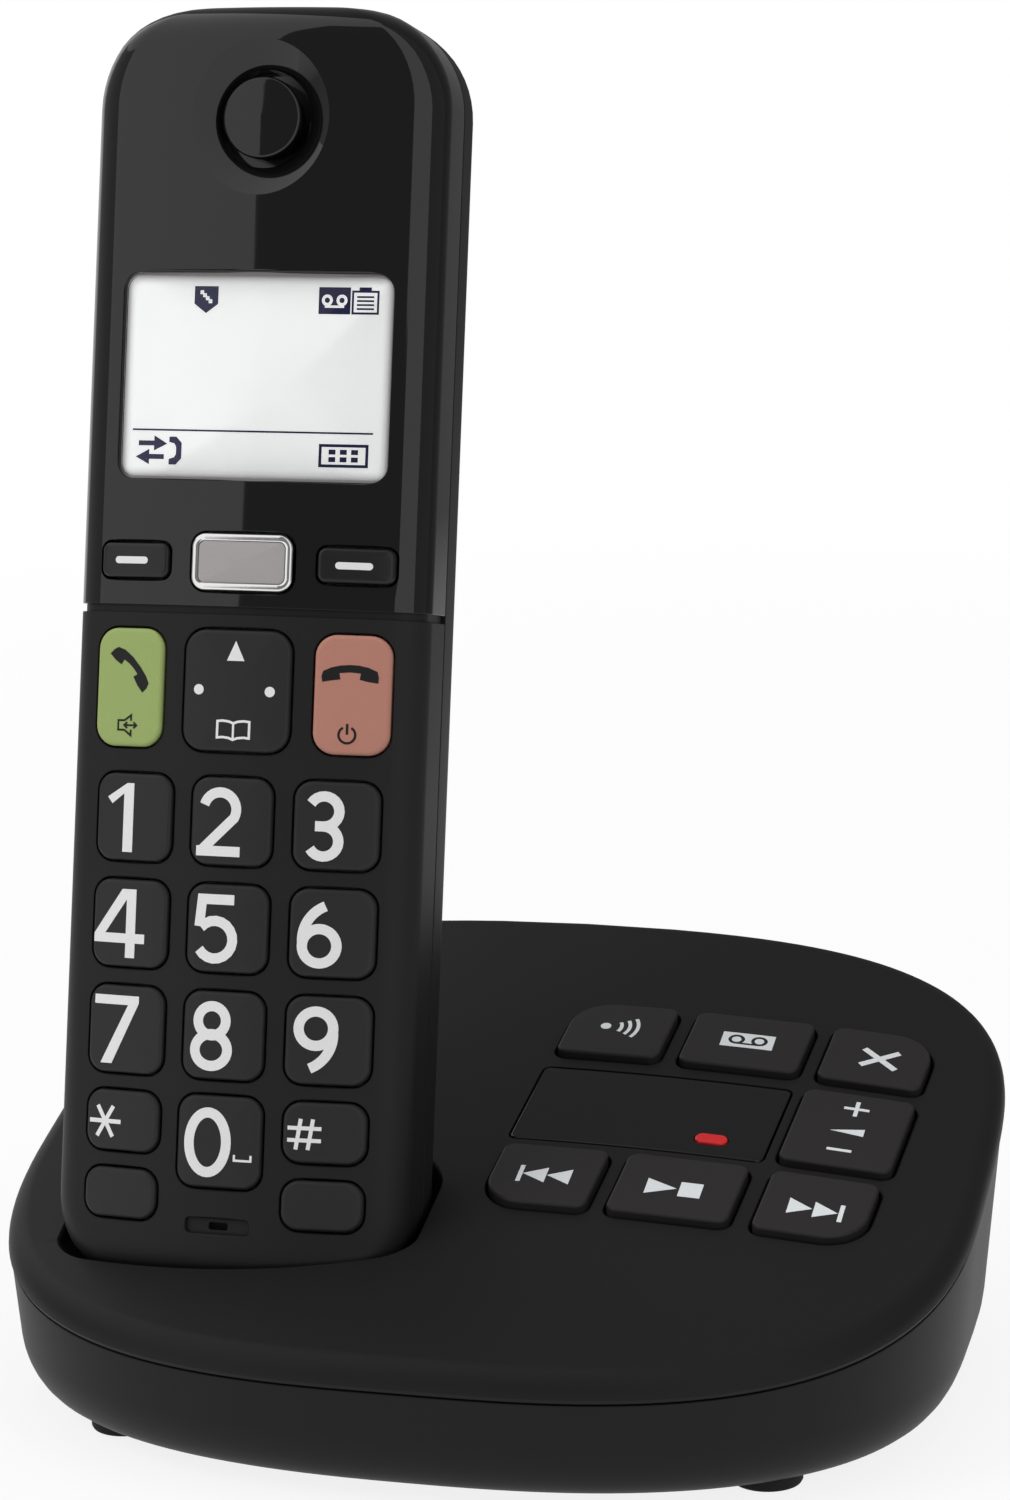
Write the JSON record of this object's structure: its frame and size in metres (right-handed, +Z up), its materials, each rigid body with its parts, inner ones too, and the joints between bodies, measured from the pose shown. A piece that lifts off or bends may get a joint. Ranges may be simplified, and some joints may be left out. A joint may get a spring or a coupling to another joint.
{
  "type": "answering machine",
  "caption": "Cordless handset standing in the charging cradle of a wedge-shaped answering machine base with tape-style control keys, a speaker and rear sockets.",
  "frame": {"origin": "on the surface that it stands on, under the middle of the base", "axes": "+Z up, -Y towards the user, +X to the user's right; the handset stands at -X"},
  "size_m": [0.142, 0.113, 0.1975],
  "materials": {
    "base_plastic": "finely textured black moulded plastic",
    "base_key": "satin dark grey plastic with printed pale symbols",
    "handset_plastic": "fine matte charcoal plastic",
    "handset_key": "satin black plastic with printed white figures",
    "green_key": "satin green plastic",
    "red_key": "satin dull red plastic",
    "silver_key": "bright plated plastic rim",
    "gloss_black": "polished black plastic",
    "clear_lens": "clear hard plastic",
    "display_panel": "pale lit liquid crystal panel",
    "contact_metal": "plated spring metal",
    "screw_steel": "zinc plated steel",
    "circuit_board": "green solder resist",
    "keypad_silicone": "matte grey silicone",
    "foot_rubber": "matte black rubber",
    "socket_black": "moulded black socket plastic",
    "speaker_black": "black coated steel",
    "red_lamp": "tinted red light pipe",
    "cell_wrap": "plain blue shrink wrap on a steel can"
  },
  "bodies": {
    "base": {"base_top_cover": "base_plastic", "base_bottom_shell": "base_plastic", "speaker": "speaker_black", "line_socket": "socket_black", "power_socket": "socket_black", "foot_front_left": "foot_rubber", "foot_front_right": "foot_rubber", "foot_back_left": "foot_rubber", "foot_back_right": "foot_rubber", "base_screw_front": "screw_steel", "base_screw_back": "screw_steel", "base_display": "gloss_black", "message_light": "red_lamp", "base_board": "circuit_board"},
    "handset": {"handset_lower_front": "handset_plastic", "handset_upper_front": "gloss_black", "handset_back_shell": "handset_plastic", "handset_board": "circuit_board", "keypad_mat": "keypad_silicone", "display_lens": "clear_lens", "display_module": "display_panel", "earpiece_disc": "gloss_black", "receiver": "speaker_black", "microphone": "foot_rubber", "battery_cell_left": "cell_wrap", "battery_cell_right": "cell_wrap", "charge_pad_left": "contact_metal", "charge_pad_right": "contact_metal", "handset_screw_left": "screw_steel", "handset_screw_right": "screw_steel"},
    "battery_door": {"battery_door": "handset_plastic"},
    "key_1": {"key_1": "handset_key"},
    "key_2": {"key_2": "handset_key"},
    "key_3": {"key_3": "handset_key"},
    "key_4": {"key_4": "handset_key"},
    "key_5": {"key_5": "handset_key"},
    "key_6": {"key_6": "handset_key"},
    "key_7": {"key_7": "handset_key"},
    "key_8": {"key_8": "handset_key"},
    "key_9": {"key_9": "handset_key"},
    "key_star": {"key_star": "handset_key"},
    "key_0": {"key_0": "handset_key"},
    "key_hash": {"key_hash": "handset_key"},
    "lower_left_key": {"lower_left_key": "handset_key"},
    "lower_right_key": {"lower_right_key": "handset_key"},
    "talk_key": {"talk_key": "green_key"},
    "end_key": {"end_key": "red_key"},
    "soft_key_left": {"soft_key_left": "gloss_black"},
    "message_key": {"message_key": "silver_key"},
    "soft_key_right": {"soft_key_right": "gloss_black"},
    "navigation_key": {"navigation_key": "handset_key"},
    "paging_key": {"paging_key": "base_key"},
    "answer_key": {"answer_key": "base_key"},
    "erase_key": {"erase_key": "base_key"},
    "skip_back_key": {"skip_back_key": "base_key"},
    "play_stop_key": {"play_stop_key": "base_key"},
    "skip_forward_key": {"skip_forward_key": "base_key"},
    "volume_key": {"volume_key": "base_key"},
    "charge_contact_left": {"charge_contact_left": "contact_metal"},
    "charge_contact_right": {"charge_contact_right": "contact_metal"}
  },
  "joints": [
    {"name": "handset_lift", "type": "slide", "parent": "base", "child": "handset", "axis": [0, 0.2147, 0.9767], "range_m": [0, 0.04]},
    {"name": "battery_door_off", "type": "slide", "parent": "handset", "child": "battery_door", "axis": [0, 0.9767, -0.2147], "range_m": [0, 0.012]},
    {"name": "press_key_1", "type": "slide", "parent": "handset", "child": "key_1", "axis": [0, 0.9767, -0.2147], "range_m": [0, 0.0006], "stiffness_N_per_m": 300},
    {"name": "press_key_2", "type": "slide", "parent": "handset", "child": "key_2", "axis": [0, 0.9767, -0.2147], "range_m": [0, 0.0006], "stiffness_N_per_m": 300},
    {"name": "press_key_3", "type": "slide", "parent": "handset", "child": "key_3", "axis": [0, 0.9767, -0.2147], "range_m": [0, 0.0006], "stiffness_N_per_m": 300},
    {"name": "press_key_4", "type": "slide", "parent": "handset", "child": "key_4", "axis": [0, 0.9767, -0.2147], "range_m": [0, 0.0006], "stiffness_N_per_m": 300},
    {"name": "press_key_5", "type": "slide", "parent": "handset", "child": "key_5", "axis": [0, 0.9767, -0.2147], "range_m": [0, 0.0006], "stiffness_N_per_m": 300},
    {"name": "press_key_6", "type": "slide", "parent": "handset", "child": "key_6", "axis": [0, 0.9767, -0.2147], "range_m": [0, 0.0006], "stiffness_N_per_m": 300},
    {"name": "press_key_7", "type": "slide", "parent": "handset", "child": "key_7", "axis": [0, 0.9767, -0.2147], "range_m": [0, 0.0006], "stiffness_N_per_m": 300},
    {"name": "press_key_8", "type": "slide", "parent": "handset", "child": "key_8", "axis": [0, 0.9767, -0.2147], "range_m": [0, 0.0006], "stiffness_N_per_m": 300},
    {"name": "press_key_9", "type": "slide", "parent": "handset", "child": "key_9", "axis": [0, 0.9767, -0.2147], "range_m": [0, 0.0006], "stiffness_N_per_m": 300},
    {"name": "press_key_star", "type": "slide", "parent": "handset", "child": "key_star", "axis": [0, 0.9767, -0.2147], "range_m": [0, 0.0006], "stiffness_N_per_m": 300},
    {"name": "press_key_0", "type": "slide", "parent": "handset", "child": "key_0", "axis": [0, 0.9767, -0.2147], "range_m": [0, 0.0006], "stiffness_N_per_m": 300},
    {"name": "press_key_hash", "type": "slide", "parent": "handset", "child": "key_hash", "axis": [0, 0.9767, -0.2147], "range_m": [0, 0.0006], "stiffness_N_per_m": 300},
    {"name": "press_lower_left", "type": "slide", "parent": "handset", "child": "lower_left_key", "axis": [0, 0.9767, -0.2147], "range_m": [0, 0.0006], "stiffness_N_per_m": 300},
    {"name": "press_lower_right", "type": "slide", "parent": "handset", "child": "lower_right_key", "axis": [0, 0.9767, -0.2147], "range_m": [0, 0.0006], "stiffness_N_per_m": 300},
    {"name": "press_talk", "type": "slide", "parent": "handset", "child": "talk_key", "axis": [0, 0.9767, -0.2147], "range_m": [0, 0.0006], "stiffness_N_per_m": 300},
    {"name": "press_end", "type": "slide", "parent": "handset", "child": "end_key", "axis": [0, 0.9767, -0.2147], "range_m": [0, 0.0006], "stiffness_N_per_m": 300},
    {"name": "press_soft_left", "type": "slide", "parent": "handset", "child": "soft_key_left", "axis": [0, 0.9767, -0.2147], "range_m": [0, 0.0006], "stiffness_N_per_m": 300},
    {"name": "press_message", "type": "slide", "parent": "handset", "child": "message_key", "axis": [0, 0.9767, -0.2147], "range_m": [0, 0.0006], "stiffness_N_per_m": 300},
    {"name": "press_soft_right", "type": "slide", "parent": "handset", "child": "soft_key_right", "axis": [0, 0.9767, -0.2147], "range_m": [0, 0.0006], "stiffness_N_per_m": 300},
    {"name": "rock_navigation", "type": "hinge", "parent": "handset", "child": "navigation_key", "pos_m": [-0.03175, -0.01682, 0.10394], "axis": [1, 0, 0], "range_deg": [-3, 3], "stiffness_Nm_per_rad": 0.05},
    {"name": "press_paging", "type": "slide", "parent": "base", "child": "paging_key", "axis": [-0.0579, 0.2852, -0.9567], "range_m": [0, 0.0006], "stiffness_N_per_m": 300},
    {"name": "press_answer", "type": "slide", "parent": "base", "child": "answer_key", "axis": [-0.0579, 0.2852, -0.9567], "range_m": [0, 0.0006], "stiffness_N_per_m": 300},
    {"name": "press_erase", "type": "slide", "parent": "base", "child": "erase_key", "axis": [-0.0579, 0.2852, -0.9567], "range_m": [0, 0.0006], "stiffness_N_per_m": 300},
    {"name": "press_skip_back", "type": "slide", "parent": "base", "child": "skip_back_key", "axis": [-0.0579, 0.2852, -0.9567], "range_m": [0, 0.0006], "stiffness_N_per_m": 300},
    {"name": "press_play_stop", "type": "slide", "parent": "base", "child": "play_stop_key", "axis": [-0.0579, 0.2852, -0.9567], "range_m": [0, 0.0006], "stiffness_N_per_m": 300},
    {"name": "press_skip_forward", "type": "slide", "parent": "base", "child": "skip_forward_key", "axis": [-0.0579, 0.2852, -0.9567], "range_m": [0, 0.0006], "stiffness_N_per_m": 300},
    {"name": "rock_volume", "type": "hinge", "parent": "base", "child": "volume_key", "pos_m": [0.05035, 0.00558, 0.03484], "axis": [0.9983, 0.0165, -0.0555], "range_deg": [-2.5, 2.5], "stiffness_Nm_per_rad": 0.05},
    {"name": "sprung_contact_left", "type": "slide", "parent": "base", "child": "charge_contact_left", "axis": [0, 0.2147, 0.9767], "range_m": [-0.0008, 0], "stiffness_N_per_m": 300},
    {"name": "sprung_contact_right", "type": "slide", "parent": "base", "child": "charge_contact_right", "axis": [0, 0.2147, 0.9767], "range_m": [-0.0008, 0], "stiffness_N_per_m": 300}
  ]
}
